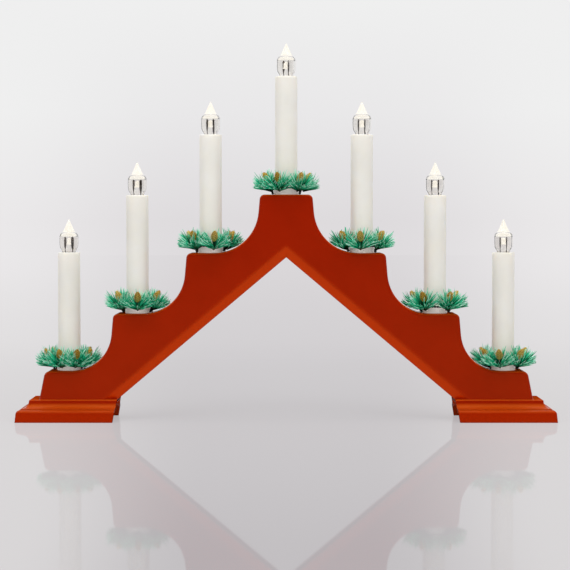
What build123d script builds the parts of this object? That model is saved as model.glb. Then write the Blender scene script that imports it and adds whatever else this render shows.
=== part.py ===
from build123d import *

import os
from math import cos, hypot, radians, sin, sqrt, tan

# Seven-light electric candle arch. Millimetres, +Z up, front towards -Y, origin on the floor under the middle.

# Arch shell: plateaus and risers are listed from the middle outwards
WALL = 2.0
ARCH_HALF_DEPTH = 14.5
PLATEAU_HEIGHTS = (168.0, 124.7, 79.7, 37.1)
RISER_RUN_OUTS = (53.4, 106.0, 159.0)
RISER_RADII = (33.0, 31.0, 29.5)
SIDE_DRAFT = 5.0
OUTER_EDGE = 179.0
OUTER_DRAFT = 11.5
CORNER_RADII = (3.6, 3.6, 3.6, 4.6)
LEAST_CORNER_RADIUS = 0.4
RIM_RADIUS = 1.5
LIP_APEX = 121.5
BEVEL_RISE = 6.5
BEVEL_DEPTH = 4.0

# Feet: slab, small step, cove and bead, the same moulding on front, outer side and rear
FOOT_OUTER = 200.0
FOOT_HALF_DEPTH = 25.0
FOOT_INNER_TOP = 125.3
FOOT_INNER_BOTTOM = 128.1
SLAB_HEIGHT = 9.0
SLAB_DRAFT = 0.6
SLAB_ROUND = 3.0
STEP_INSET = 3.8
STEP_RISE = 0.5
COVE_RADIUS = 5.5
BEAD_RADIUS = 1.0

# Candles: distance of each from the middle, and the cup and sleeve they share
CANDLE_OFFSETS = (0.0, 56.4, 111.2, 162.4)
FIT = 0.1
COLLAR_RADIUS = 9.2
COLLAR_HEIGHT = 6.0
COLLAR_ROUND = 0.6
STUB_RADIUS = 6.6
STUB_LENGTH = 5.0
SNAP = 0.4
SPIGOT_LENGTH = 8.0
WIRE_BORE_RADIUS = 3.2
SLEEVE_RADIUS = 8.3
SLEEVE_WALL = 1.3
SLEEVE_TOP = 88.0
SLEEVE_TOP_WALL = 1.5
SLEEVE_TOP_ROUND = 0.5

# Lamps with an E10 screw base
SOCKET_LENGTH = 16.0
SOCKET_FLOOR = 2.5
CAP_RADIUS = 4.7
CAP_LENGTH = 11.0
CAP_GLASS_RADIUS = 2.2
CAP_GLASS_HEIGHT = 1.5
THREAD_CLEARANCE = 0.1
CONTACT_RADIUS = 1.6
CONTACT_HEIGHT = 1.2
NECK_CLEARANCE = 0.8
LAMP_HEIGHT = 24.6
LAMP_RADIUS = 7.2
LAMP_BELLY_RISE = 8.6
LAMP_SHOULDER_RADIUS = 4.0
LAMP_SHOULDER_DROP = 6.9
LAMP_TIP_RADIUS = 0.4
LAMP_NECK_TANGENT = (0.5, 1)
LAMP_TIP_TANGENT = (-0.1, 1)
LAMP_WALL = 0.9
LED_RADIUS = 2.2
LED_HEIGHT = 5.0
LED_LEG_RADIUS = 0.45
LED_LEG_SPREAD = 1.5
LED_LEG_LENGTH = 8.5
SEAT_GAP = 0.05

# Wreaths: ring on legs, tufts on the ring, a cone in each tuft
RING_RADIUS = 13.0
RING_WIRE = 1.4
RING_HEIGHT = 5.2
LEG_WIRE = 1.6
LEG_ANGLES = (60.0, 120.0, 240.0, 300.0)
LEG_CLEARANCE = 0.3
TUFT_CORE_RADIUS = 2.2
TUFT_CORE_SHOULDER = 1.55
NEEDLE_LENGTH = 11.8
NEEDLE_WIDTH = 0.5
NEEDLE_TAPER = 0.7
NEEDLE_ROOT = 1.9
CONE_LENGTH = 8.0
CONE_RADIUS = 2.5
CONE_BELLY_RISE = 3.2
CONE_BASE_RADIUS = 0.9
CONE_TIP_RADIUS = 0.4
CONE_PITCH = 60.0

# Needle directions in a tuft: pitch above level, and yaw to either side of straight outwards
NEEDLE_ANGLES = (
    (8, 0), (8, -36), (8, 36), (22, -20), (22, 20),
    (38, -48), (38, 48), (68, -90), (68, 90), (80, 180),
)

# Tuft angles round each wreath, from the left candle to the right one: 0 is the front, 90 the right
TUFT_ANGLES = (
    (-68, -18, 26, 68, 128, 232),
    (-51, 5, 62, 122, 180, 245),
    (-47, 12, 72, 132, 192, 253),
    (-65, -22, 39, 99, 159, 237),
    (-61, -6, 54, 114, 174, 236),
    (-36, 36, 108, 180, 252),
    (-60, -17, 44, 104, 164, 240),
)

# Wiring and cable gland
WIRE_RADIUS = 0.8
WIRE_SPREAD = 1.5
WIRE_DROP = 18.5
WIRE_BEND = 4.0
LEAD_DEPTH = 5.0
LEAD_CREST = 150.0
LEAD_CREST_BEND = 20.0
LEAD_TURN_HEIGHT = 20.0
LEAD_TURN_REACH = 14.0
GLAND_INSET = 12.4
GLAND_Z = 25.0
GLAND_BORE_RADIUS = 2.1
GLAND_BODY_RADIUS = 3.4
GLAND_FLANGE_RADIUS = 5.0
GLAND_FLANGE = 1.5
GLAND_TAIL = 3.0
GLAND_SNAP = 0.6
GLAND_SNAP_LENGTH = 1.2
LEAD_SPREAD = 1.2
LEAD_SHORT = 1.5

# Sizes that follow from the ones above
OVERCUT = 1.0
FOOT_HEIGHT = SLAB_HEIGHT + STEP_RISE + COVE_RADIUS + BEAD_RADIUS
LIP_SLOPE = (LIP_APEX - FOOT_HEIGHT) / FOOT_INNER_TOP
BEVEL_LENGTH = hypot(BEVEL_RISE, BEVEL_DEPTH)
HOLLOW_RISE = BEVEL_RISE + WALL * (BEVEL_LENGTH - BEVEL_RISE) / BEVEL_DEPTH
HOLLOW_DEPTH = HOLLOW_RISE * BEVEL_DEPTH / BEVEL_RISE
SLEEVE_BORE_RADIUS = SLEEVE_RADIUS - SLEEVE_WALL
SOCKET_TOP = SLEEVE_TOP - SLEEVE_TOP_WALL
SOCKET_BOTTOM = SOCKET_TOP - SOCKET_LENGTH
CONTACT_BOTTOM = SOCKET_BOTTOM + SOCKET_FLOOR + SEAT_GAP
CAP_BOTTOM = CONTACT_BOTTOM + CONTACT_HEIGHT
CAP_TOP = CAP_BOTTOM + CAP_LENGTH
LAMP_TOP = SLEEVE_TOP + LAMP_HEIGHT
CORE_HEIGHT = RING_HEIGHT + RING_WIRE / 2 + SEAT_GAP + TUFT_CORE_RADIUS
GLAND_X = CANDLE_OFFSETS[-1] - GLAND_INSET
CANDLE_STEPS = (3, 2, 1, 0, 1, 2, 3)
CANDLE_SIDES = (-1, -1, -1, 1, 1, 1, 1)
CANDLES = [
    (side * CANDLE_OFFSETS[step], PLATEAU_HEIGHTS[step])
    for step, side in zip(CANDLE_STEPS, CANDLE_SIDES)
]


def save(piece, node):
    """Label a finished piece and write it."""
    piece.label = node
    export_step(piece, f"parts/{node}.step")


def lip_height(x):
    """Height of the arch's lower lip at a distance from the middle."""
    return LIP_APEX - LIP_SLOPE * x


def draw_half_arch(inset, low):
    """Right half of the arch's outline, this far inside its outer faces, down to a low level."""
    previous = (0, PLATEAU_HEIGHTS[0] - inset)
    Line((0, LIP_APEX), previous)
    for step, radius in enumerate(RISER_RADII):
        run_out = (RISER_RUN_OUTS[step], PLATEAU_HEIGHTS[step + 1] - inset)
        riser = JernArc(run_out, (-1, 0), radius + inset, SIDE_DRAFT - 90)
        side_foot = riser @ 1
        level = PLATEAU_HEIGHTS[step] - inset
        corner = (side_foot.X - (level - side_foot.Y) * tan(radians(SIDE_DRAFT)), level)
        corner_radius = max(CORNER_RADII[step] - inset, LEAST_CORNER_RADIUS)
        FilletPolyline(previous, corner, side_foot, radius=corner_radius)
        previous = run_out
    level = PLATEAU_HEIGHTS[-1] - inset
    draft = radians(OUTER_DRAFT)
    edge = OUTER_EDGE - inset / cos(draft)
    corner = (edge + inset * tan(draft), level)
    side_foot = (edge + (PLATEAU_HEIGHTS[-1] - low) * tan(draft), low)
    corner_radius = max(CORNER_RADII[-1] - inset, LEAST_CORNER_RADIUS)
    FilletPolyline(previous, corner, side_foot, radius=corner_radius)
    Polyline(side_foot, ((LIP_APEX - low) / LIP_SLOPE, low), (0, LIP_APEX))


def lip_face(part):
    """The sloping face under the right half of the arch."""
    return part.faces().sort_by(Axis((0, 0, 0), (-LIP_SLOPE, 0, -1)))[-1]


def lip_edges(part):
    """The front and rear edges of that face."""
    return lip_face(part).edges().filter_by(Axis.Y, reverse=True).filter_by(GeomType.LINE).filter_by(
        lambda edge: edge.length > WALL + 2 * ARCH_HALF_DEPTH
    )


def is_rim(edge):
    """True for an edge that runs along the arch's top."""
    middle = edge.position_at(0.5)
    above_lip = middle.Z > lip_height(middle.X) + BEVEL_RISE * sqrt(1 + LIP_SLOPE**2) + WALL
    return above_lip and middle.X > WALL and middle.Z > FOOT_HEIGHT


def draw_moulding(edge):
    """The foot's moulding from its lowest outer corner up and in to the ledge; returns its last point."""
    slab = JernArc((edge - SLAB_DRAFT, SLAB_HEIGHT - SLAB_ROUND), (0, 1), SLAB_ROUND, 90)
    step = (edge - STEP_INSET, SLAB_HEIGHT)
    cove = JernArc((edge - STEP_INSET, SLAB_HEIGHT + STEP_RISE), (-1, 0), COVE_RADIUS, -90)
    bead = JernArc(cove @ 1, (0, 1), BEAD_RADIUS, 90)
    Line((edge, 0), slab @ 0)
    Polyline(slab @ 1, step, cove @ 0)
    return bead @ 1


def draw_hollow_moulding(edge):
    """The same moulding one wall further in, from under the floor to the ledge's underside."""
    low = (edge - WALL, -OVERCUT)
    slab = (edge - WALL - SLAB_DRAFT, SLAB_HEIGHT - WALL)
    cove = (edge - STEP_INSET, SLAB_HEIGHT + STEP_RISE - WALL)
    reach = STEP_INSET + sqrt((COVE_RADIUS + WALL)**2 - (WALL - BEAD_RADIUS)**2)
    ledge = (edge - reach, FOOT_HEIGHT - WALL)
    Polyline(low, slab, cove)
    RadiusArc(cove, ledge, COVE_RADIUS + WALL)
    return ledge


os.makedirs("parts", exist_ok=True)

# Right half of the arch's outer form
with BuildPart() as arch_half:
    with BuildSketch(Plane.XZ):
        with BuildLine():
            draw_half_arch(0, FOOT_HEIGHT - WALL)
        make_face()
    extrude(amount=ARCH_HALF_DEPTH, both=True)
    chamfer(
        lip_edges(arch_half.part), length=BEVEL_DEPTH, length2=BEVEL_RISE, reference=lip_face(arch_half.part)
    )
    fillet(arch_half.faces().filter_by(Axis.Y).edges().filter_by(is_rim), radius=RIM_RADIUS)

# The space inside that half, open along the lip
with BuildPart() as arch_hollow:
    with BuildSketch(Plane.XZ):
        with BuildLine():
            draw_half_arch(WALL, FOOT_HEIGHT - 2 * WALL)
        make_face()
    extrude(amount=ARCH_HALF_DEPTH - WALL, both=True)
    chamfer(
        lip_edges(arch_hollow.part), length=HOLLOW_DEPTH, length2=HOLLOW_RISE, reference=lip_face(arch_hollow.part)
    )

# Right foot: the moulding seen from the end, crossed with the moulding seen from the front
with BuildPart() as foot_block:
    with BuildSketch(Plane.YZ):
        with BuildLine():
            ledge_end = draw_moulding(FOOT_HALF_DEPTH)
            Polyline(ledge_end, (0, FOOT_HEIGHT), (0, 0), (FOOT_HALF_DEPTH, 0))
        make_face()
        mirror(about=Plane.YZ)
    extrude(amount=FOOT_OUTER + OVERCUT)
    with BuildSketch(Plane.XZ):
        with BuildLine():
            ledge_end = draw_moulding(FOOT_OUTER)
            Polyline(
                ledge_end, (FOOT_INNER_TOP, FOOT_HEIGHT), (FOOT_INNER_BOTTOM, 0), (FOOT_OUTER, 0)
            )
        make_face()
    extrude(amount=FOOT_HALF_DEPTH + OVERCUT, both=True, mode=Mode.INTERSECT)

# The space inside the foot, open below and at the inner end
with BuildPart() as foot_hollow:
    with BuildSketch(Plane.YZ):
        with BuildLine():
            ledge_end = draw_hollow_moulding(FOOT_HALF_DEPTH)
            Polyline(ledge_end, (0, FOOT_HEIGHT - WALL), (0, -OVERCUT), (FOOT_HALF_DEPTH - WALL, -OVERCUT))
        make_face()
        mirror(about=Plane.YZ)
    extrude(amount=FOOT_OUTER)
    with BuildSketch(Plane.XZ):
        with BuildLine():
            ledge_end = draw_hollow_moulding(FOOT_OUTER)
            open_end = FOOT_INNER_TOP - OVERCUT
            Polyline(
                ledge_end, (open_end, FOOT_HEIGHT - WALL), (open_end, -OVERCUT), (FOOT_OUTER - WALL, -OVERCUT)
            )
        make_face()
    extrude(amount=FOOT_HALF_DEPTH, both=True, mode=Mode.INTERSECT)

# Arch shell: both halves with their feet, hollowed, with holes for the candles and the cable
with BuildPart() as arch_body:
    add(arch_half.part)
    add(foot_block.part)
    add(arch_hollow.part, mode=Mode.SUBTRACT)
    add(foot_hollow.part, mode=Mode.SUBTRACT)
    mirror(about=Plane.YZ)
    with Locations(*[(x, 0, height) for x, height in CANDLES]):
        Hole(radius=STUB_RADIUS + FIT, depth=WALL + OVERCUT)
        Cylinder(
            COLLAR_RADIUS + FIT,
            COLLAR_HEIGHT,
            align=(Align.CENTER, Align.CENTER, Align.MIN),
            mode=Mode.SUBTRACT,
        )
    with Locations(Plane((GLAND_X, ARCH_HALF_DEPTH, GLAND_Z), z_dir=(0, 1, 0))):
        Hole(radius=GLAND_BODY_RADIUS + FIT, depth=WALL + OVERCUT)
save(arch_body.part, "arch_body")

# Candle cup: stub with a snap bead through the plateau, collar, and spigot for the sleeve
with BuildPart() as cup_form:
    with BuildSketch(Plane.XZ):
        with BuildLine():
            Polyline(
                (WIRE_BORE_RADIUS, -STUB_LENGTH),
                (STUB_RADIUS - SNAP, -STUB_LENGTH),
                (STUB_RADIUS + SNAP, -WALL - FIT - SNAP),
                (STUB_RADIUS, -WALL - FIT),
                (STUB_RADIUS, 0),
                (COLLAR_RADIUS, 0),
                (COLLAR_RADIUS, COLLAR_HEIGHT),
                (SLEEVE_BORE_RADIUS - FIT, COLLAR_HEIGHT),
                (SLEEVE_BORE_RADIUS - FIT, COLLAR_HEIGHT + SPIGOT_LENGTH),
                (WIRE_BORE_RADIUS, COLLAR_HEIGHT + SPIGOT_LENGTH),
                close=True,
            )
        make_face()
    revolve(axis=Axis.Z)
    collar_edge = cup_form.edges().filter_by(GeomType.CIRCLE).group_by(SortBy.RADIUS)[-1].sort_by(Axis.Z)[-1]
    fillet(collar_edge, radius=COLLAR_ROUND)

# Candle sleeve: tube with a pierced top and a snap bead that holds the socket up
with BuildPart() as sleeve_form:
    with BuildSketch(Plane.XZ):
        with BuildLine():
            Polyline(
                (SLEEVE_BORE_RADIUS, COLLAR_HEIGHT),
                (SLEEVE_RADIUS, COLLAR_HEIGHT),
                (SLEEVE_RADIUS, SLEEVE_TOP),
                (CAP_RADIUS + NECK_CLEARANCE, SLEEVE_TOP),
                (CAP_RADIUS + NECK_CLEARANCE, SOCKET_TOP),
                (SLEEVE_BORE_RADIUS, SOCKET_TOP),
                (SLEEVE_BORE_RADIUS, SOCKET_BOTTOM - SEAT_GAP),
                (SLEEVE_BORE_RADIUS - SNAP, SOCKET_BOTTOM - SEAT_GAP - SNAP),
                (SLEEVE_BORE_RADIUS, SOCKET_BOTTOM - SEAT_GAP - 2 * SNAP),
                close=True,
            )
        make_face()
    revolve(axis=Axis.Z)
    top_edge = sleeve_form.edges().filter_by(GeomType.CIRCLE).group_by(Axis.Z)[-1].sort_by(SortBy.RADIUS)[-1]
    fillet(top_edge, radius=SLEEVE_TOP_ROUND)

# Lamp socket: cup with a floor, in the top of the sleeve
with BuildPart() as socket_form:
    with Locations((0, 0, SOCKET_BOTTOM)):
        Cylinder(SLEEVE_BORE_RADIUS - FIT, SOCKET_LENGTH, align=(Align.CENTER, Align.CENTER, Align.MIN))
    with Locations((0, 0, SOCKET_TOP)):
        Hole(radius=CAP_RADIUS + THREAD_CLEARANCE, depth=SOCKET_LENGTH - SOCKET_FLOOR)

# Lamp contact: the solder tip under the cap
with BuildPart() as contact_form:
    with Locations((0, 0, CONTACT_BOTTOM)):
        Cone(
            CONTACT_RADIUS / 2, CONTACT_RADIUS, CONTACT_HEIGHT, align=(Align.CENTER, Align.CENTER, Align.MIN)
        )

# Lamp base: screw cap, and the LED standing on it on two legs
with BuildPart() as base_form:
    with BuildSketch(Plane.XZ):
        with BuildLine():
            Polyline(
                (0, CAP_BOTTOM),
                (CAP_GLASS_RADIUS, CAP_BOTTOM),
                (CAP_RADIUS, CAP_BOTTOM + CAP_GLASS_HEIGHT),
                (CAP_RADIUS, CAP_TOP),
                (0, CAP_TOP),
                close=True,
            )
        make_face()
        with BuildLine():
            led_bottom = CAP_TOP + LED_LEG_LENGTH + SEAT_GAP
            led_dome = led_bottom + LED_HEIGHT - LED_RADIUS
            dome = JernArc((LED_RADIUS, led_dome), (0, 1), LED_RADIUS, 90)
            Polyline(dome @ 1, (0, led_bottom), (LED_RADIUS, led_bottom), dome @ 0)
        make_face()
    revolve(axis=Axis.Z)
    with Locations((-LED_LEG_SPREAD, 0, CAP_TOP), (LED_LEG_SPREAD, 0, CAP_TOP)):
        Cylinder(LED_LEG_RADIUS, LED_LEG_LENGTH, align=(Align.CENTER, Align.CENTER, Align.MIN))

# Lamp envelope: hollow flame on a neck that stands on the cap
with BuildPart() as envelope_form:
    with BuildSketch(Plane.XZ):
        with BuildLine():
            belly = SLEEVE_TOP + LAMP_BELLY_RISE
            shoulder = LAMP_TOP - LAMP_SHOULDER_DROP
            flame = Spline(
                (CAP_RADIUS, SLEEVE_TOP),
                (LAMP_RADIUS, belly),
                (LAMP_SHOULDER_RADIUS, shoulder),
                (LAMP_TIP_RADIUS, LAMP_TOP),
                tangents=(LAMP_NECK_TANGENT, LAMP_TIP_TANGENT),
            )
            inner = Spline(
                (CAP_RADIUS - LAMP_WALL, SLEEVE_TOP),
                (LAMP_RADIUS - LAMP_WALL, belly),
                (0, shoulder),
                tangents=(LAMP_NECK_TANGENT, (-1, 0)),
            )
            Polyline(flame @ 1, (0, LAMP_TOP), inner @ 1)
            Polyline(
                flame @ 0, (CAP_RADIUS, CAP_TOP), (CAP_RADIUS - LAMP_WALL, CAP_TOP), inner @ 0
            )
        make_face()
    revolve(axis=Axis.Z)

# Pine tuft at the front of a ring: a core on the ring wire with its needles fanned outwards and up
core_centre = (0, -RING_RADIUS, CORE_HEIGHT)
needle_planes = []
for pitch, yaw in NEEDLE_ANGLES:
    level = cos(radians(pitch))
    direction = (level * sin(radians(yaw)), -level * cos(radians(yaw)), sin(radians(pitch)))
    needle_planes.append(Plane(core_centre, z_dir=direction).offset(NEEDLE_ROOT))
with BuildPart() as tuft_form:
    with BuildSketch(Plane(core_centre, x_dir=(1, 0, 0), z_dir=(0, -1, 0))):
        with BuildLine():
            Polyline(
                (0, -TUFT_CORE_RADIUS),
                (TUFT_CORE_SHOULDER, -TUFT_CORE_SHOULDER),
                (TUFT_CORE_RADIUS, 0),
                (TUFT_CORE_SHOULDER, TUFT_CORE_SHOULDER),
                (0, TUFT_CORE_RADIUS),
                close=True,
            )
        make_face()
    revolve(axis=Axis(core_centre, (0, 0, 1)))
    with BuildSketch(*needle_planes):
        Rectangle(NEEDLE_WIDTH, NEEDLE_WIDTH)
    extrude(amount=NEEDLE_LENGTH - NEEDLE_ROOT, taper=NEEDLE_TAPER)

# Cone in the middle of a tuft, tilted outwards
cone_axis = (0, -cos(radians(CONE_PITCH)), sin(radians(CONE_PITCH)))
with BuildPart() as cone_form:
    with BuildSketch(Plane(core_centre, x_dir=(1, 0, 0), z_dir=Vector(1, 0, 0).cross(Vector(cone_axis)))):
        with BuildLine():
            cone_foot = TUFT_CORE_RADIUS + SEAT_GAP
            flank = ThreePointArc(
                (CONE_BASE_RADIUS, cone_foot),
                (CONE_RADIUS, cone_foot + CONE_BELLY_RISE),
                (CONE_TIP_RADIUS, cone_foot + CONE_LENGTH),
            )
            Polyline(flank @ 1, (0, cone_foot + CONE_LENGTH), (0, cone_foot), flank @ 0)
        make_face()
    revolve(axis=Axis(core_centre, cone_axis))

# The seven candles, lamps and wreaths
for number, (x, height) in enumerate(CANDLES, start=1):
    place = (x, 0, height)
    with BuildPart() as candle_cup:
        with Locations(place):
            add(cup_form.part)
    save(candle_cup.part, f"candle_cup_{number}")

    with BuildPart() as candle_sleeve:
        with Locations(place):
            add(sleeve_form.part)
    save(candle_sleeve.part, f"candle_sleeve_{number}")

    with BuildPart() as lamp_contact:
        with Locations(place):
            add(contact_form.part)
    save(lamp_contact.part, f"lamp_contact_{number}")

    with BuildPart() as lamp_base:
        with Locations(place):
            add(base_form.part)
    save(lamp_base.part, f"lamp_base_{number}")

    with BuildPart() as lamp_envelope:
        with Locations(place):
            add(envelope_form.part)
    save(lamp_envelope.part, f"lamp_envelope_{number}")

    # Legs towards the middle are shorter where the riser starts to climb
    step = CANDLE_STEPS[number - 1]
    with BuildPart() as wreath_frame:
        with Locations((x, 0, height + RING_HEIGHT)):
            Torus(RING_RADIUS, RING_WIRE / 2)
        for angle in LEG_ANGLES:
            leg_x = x + RING_RADIUS * sin(radians(angle))
            leg_y = -RING_RADIUS * cos(radians(angle))
            inward = RISER_RUN_OUTS[step - 1] - abs(leg_x) + LEG_WIRE / 2 if step else 0
            foot_rise = 0
            if inward > 0:
                radius = RISER_RADII[step - 1]
                foot_rise = radius - sqrt(radius**2 - inward**2) + LEG_CLEARANCE
            with Locations((leg_x, leg_y, height + foot_rise)):
                Cylinder(
                    LEG_WIRE / 2, RING_HEIGHT - foot_rise, align=(Align.CENTER, Align.CENTER, Align.MIN)
                )
    save(wreath_frame.part, f"wreath_frame_{number}")

    turns = [Location(place, (0, 0, angle)) for angle in TUFT_ANGLES[number - 1]]
    with BuildPart() as pine_tufts:
        with Locations(*turns):
            add(tuft_form.part)
    save(pine_tufts.part, f"pine_tufts_{number}")

    with BuildPart() as cones:
        with Locations(*turns):
            add(cone_form.part)
    save(cones.part, f"cones_{number}")

# Lamp sockets, one in each sleeve
with BuildPart() as lamp_sockets:
    with Locations(*[(x, 0, height) for x, height in CANDLES]):
        add(socket_form.part)
save(lamp_sockets.part, "lamp_sockets")

# Wires: hops between neighbouring sockets, then the two supply leads to the gland
gland_inner = ARCH_HALF_DEPTH - WALL - GLAND_TAIL
lead_end = gland_inner - LEAD_SHORT
routes = []
for (left_x, left_height), (right_x, right_height) in zip(CANDLES, CANDLES[1:]):
    points = [
        (left_x + WIRE_SPREAD, 0, left_height + SOCKET_BOTTOM),
        (left_x + WIRE_SPREAD, 0, left_height - WIRE_DROP),
        (right_x - WIRE_SPREAD, 0, right_height - WIRE_DROP),
        (right_x - WIRE_SPREAD, 0, right_height + SOCKET_BOTTOM),
    ]
    routes.append((points, [WIRE_BEND, WIRE_BEND]))
first_x, first_height = CANDLES[0]
last_x, last_height = CANDLES[-1]
long_lead = [
    (first_x - WIRE_SPREAD, 0, first_height + SOCKET_BOTTOM),
    (first_x - WIRE_SPREAD, 0, LEAD_TURN_HEIGHT),
    (first_x - WIRE_SPREAD + LEAD_TURN_REACH, LEAD_DEPTH, LEAD_TURN_HEIGHT + WIRE_BEND),
    (0, LEAD_DEPTH, LEAD_CREST),
    (GLAND_X - LEAD_SPREAD, LEAD_DEPTH, GLAND_Z),
    (GLAND_X - LEAD_SPREAD, lead_end, GLAND_Z),
]
short_lead = [
    (last_x + WIRE_SPREAD, 0, last_height + SOCKET_BOTTOM),
    (last_x + WIRE_SPREAD, 0, LEAD_TURN_HEIGHT),
    (GLAND_X + LEAD_SPREAD, LEAD_DEPTH, GLAND_Z),
    (GLAND_X + LEAD_SPREAD, lead_end, GLAND_Z),
]
lead_bend = (lead_end - LEAD_DEPTH) / 2
routes.append((long_lead, [WIRE_BEND, WIRE_BEND, LEAD_CREST_BEND, lead_bend]))
routes.append((short_lead, [WIRE_BEND, lead_bend]))
with BuildPart() as wiring:
    for points, bends in routes:
        with BuildLine() as path:
            FilletPolyline(*points, radius=bends)
        with BuildSketch(Plane(path.line @ 0, z_dir=path.line % 0)):
            Circle(WIRE_RADIUS)
        sweep(path=path.line)
save(wiring.part, "wiring")

# Cable gland: flanged bush through the rear wall, with its bore ready for a cord
with BuildPart() as cable_gland:
    with BuildSketch(Plane.YZ.offset(GLAND_X)):
        with BuildLine():
            inside = ARCH_HALF_DEPTH - WALL - FIT
            Polyline(
                (gland_inner, GLAND_Z + GLAND_BORE_RADIUS),
                (gland_inner, GLAND_Z + GLAND_BODY_RADIUS),
                (inside - GLAND_SNAP_LENGTH, GLAND_Z + GLAND_BODY_RADIUS),
                (inside, GLAND_Z + GLAND_BODY_RADIUS + GLAND_SNAP),
                (inside, GLAND_Z + GLAND_BODY_RADIUS),
                (ARCH_HALF_DEPTH, GLAND_Z + GLAND_BODY_RADIUS),
                (ARCH_HALF_DEPTH, GLAND_Z + GLAND_FLANGE_RADIUS),
                (ARCH_HALF_DEPTH + GLAND_FLANGE, GLAND_Z + GLAND_FLANGE_RADIUS),
                (ARCH_HALF_DEPTH + GLAND_FLANGE, GLAND_Z + GLAND_BORE_RADIUS),
                close=True,
            )
        make_face()
    revolve(axis=Axis((GLAND_X, 0, GLAND_Z), (0, 1, 0)))
save(cable_gland.part, "cable_gland")
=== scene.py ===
"""Looks of a seven-light candle arch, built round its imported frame. Metres, +Z up, front towards -Y."""

from math import cos, hypot, pi, radians, sin, tau
from random import Random

import bpy
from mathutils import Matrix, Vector
from mathutils.bvhtree import BVHTree


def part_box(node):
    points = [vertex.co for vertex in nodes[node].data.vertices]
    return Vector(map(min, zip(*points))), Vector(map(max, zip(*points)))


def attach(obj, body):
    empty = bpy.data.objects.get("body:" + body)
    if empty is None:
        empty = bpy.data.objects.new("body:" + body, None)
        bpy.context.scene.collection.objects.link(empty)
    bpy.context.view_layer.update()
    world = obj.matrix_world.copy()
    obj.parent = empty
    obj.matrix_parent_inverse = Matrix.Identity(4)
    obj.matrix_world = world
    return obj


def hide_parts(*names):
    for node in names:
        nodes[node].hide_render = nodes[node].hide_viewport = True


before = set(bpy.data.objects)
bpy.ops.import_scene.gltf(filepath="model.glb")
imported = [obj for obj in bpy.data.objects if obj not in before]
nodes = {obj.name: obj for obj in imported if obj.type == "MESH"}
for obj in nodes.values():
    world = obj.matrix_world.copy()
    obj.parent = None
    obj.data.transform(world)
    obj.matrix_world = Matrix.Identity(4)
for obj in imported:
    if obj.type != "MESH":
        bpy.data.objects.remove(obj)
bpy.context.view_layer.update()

EAST = Vector((1, 0, 0))
NORTH = Vector((0, 1, 0))
UP = Vector((0, 0, 1))
GOLDEN_TURN = pi * (3 - 5 ** 0.5)

# Camera, at the photograph's viewing angle, with lens and sensor in millimetres
CAMERA_PLACE = (-0.0009, -1.275, 0.149)
CAMERA_AIM = (-0.0009, 0.0, 0.1006)
CAMERA_LENS = 107.7
CAMERA_SENSOR = 36.0

# Candles, numbered from the left
NUMBERS = range(1, 8)
COLLAR_HEIGHT = 0.006

# Flame lamps: the outline has heights above the sleeve's top, each with the radius there
FLAME_OUTLINE = (
    (0.0, 0.0047), (0.0014, 0.0053), (0.0036, 0.0066), (0.0065, 0.0070),
    (0.0100, 0.0070), (0.0128, 0.0067), (0.0145, 0.0056), (0.0160, 0.0042),
    (0.0180, 0.0032), (0.0205, 0.0021), (0.0228, 0.0011), (0.0240, 0.0006),
)
FLAME_TOP = 0.0246
FLAME_TOP_RADIUS = 0.0002
FLAME_WALL = 0.0006
FLAME_SEGMENTS = 72
FLAME_STEPS = 30

# The flame's cavity: dome and fades as shares of its height, flutes round its wall
CAVITY_TOP = 0.0134
CAVITY_DOME = 0.14
CAVITY_LEAST_DOME = 0.02
FLUTES = 9
FLUTE_DEPTH = 0.00016
FLUTE_FADE_TOP = 1 / 4
FLUTE_FADE_NECK = 1 / 6

# The lit core in the flame's solid tip: its rounding is a share of its height
LENS_BOTTOM = 0.0140
LENS_SHRINK = 0.0004
LENS_ROUND = 0.18
LENS_ROUND_START = 0.01
LENS_LEAST_RADIUS = 0.0002
LENS_SEGMENTS = 32

# Screw caps
CAP_RADIUS = 0.0047
CAP_LENGTH = 0.011
CAP_THREAD_DEPTH = 0.00035
CAP_THREAD_PITCH = 0.00181
CAP_THREAD_START = 0.0025
CAP_THREAD_END = 0.0098
CAP_TIP_RADIUS = 0.0022
CAP_TIP_HEIGHT = 0.0015
CAP_SEGMENTS = 48
CAP_STEPS = 64

# LEDs on their legs: the leg's outline has shares of its length, each with a share of its width
LED_RADIUS = 0.0017
LED_HEIGHT = 0.0050
LED_FLANGE = 0.0003
LED_FLANGE_HEIGHT = 0.0008
LED_DOME_STEPS = 9
LED_SEGMENTS = 32
LED_LEG_SPREAD = 0.0026
LED_LEG_WIDTH = 0.0007
LED_LEG_LENGTH = 0.0085
LED_LEG_OUTLINE = ((0, 0.5), (0.35, 0.55), (0.6, 1.1), (0.93, 1.0), (1, 0.4))
LED_LEG_SIDES = 8
LED_POST_TOP = 0.0118
LED_TURNS = (12, -8, 28, -47, 20, -24, 15)

# Wire rings on twisted legs
RING_RADIUS = 0.013
RING_HEIGHT = 0.0052
RING_STRAND = 0.00042
RING_TWISTS = 22
RING_STEPS = 264
LEG_ANGLES = (60, 120, 240, 300)
LEG_STRAND = 0.00055
LEG_LEAN = 0.0016
LEG_TWISTS = 2
LEG_STEPS = 16
STRAND_SIDES = 6

# Tuft angles round each wreath, from the left candle to the right one: 0 is the front, 90 the right
TUFT_ANGLES = (
    (-68, -18, 26, 68, 128, 232),
    (-51, 5, 62, 122, 180, 245),
    (-47, 12, 72, 132, 192, 253),
    (-65, -22, 39, 99, 159, 237),
    (-61, -6, 54, 114, 174, 236),
    (-36, 36, 108, 180, 252),
    (-60, -17, 44, 104, 164, 240),
)

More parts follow.
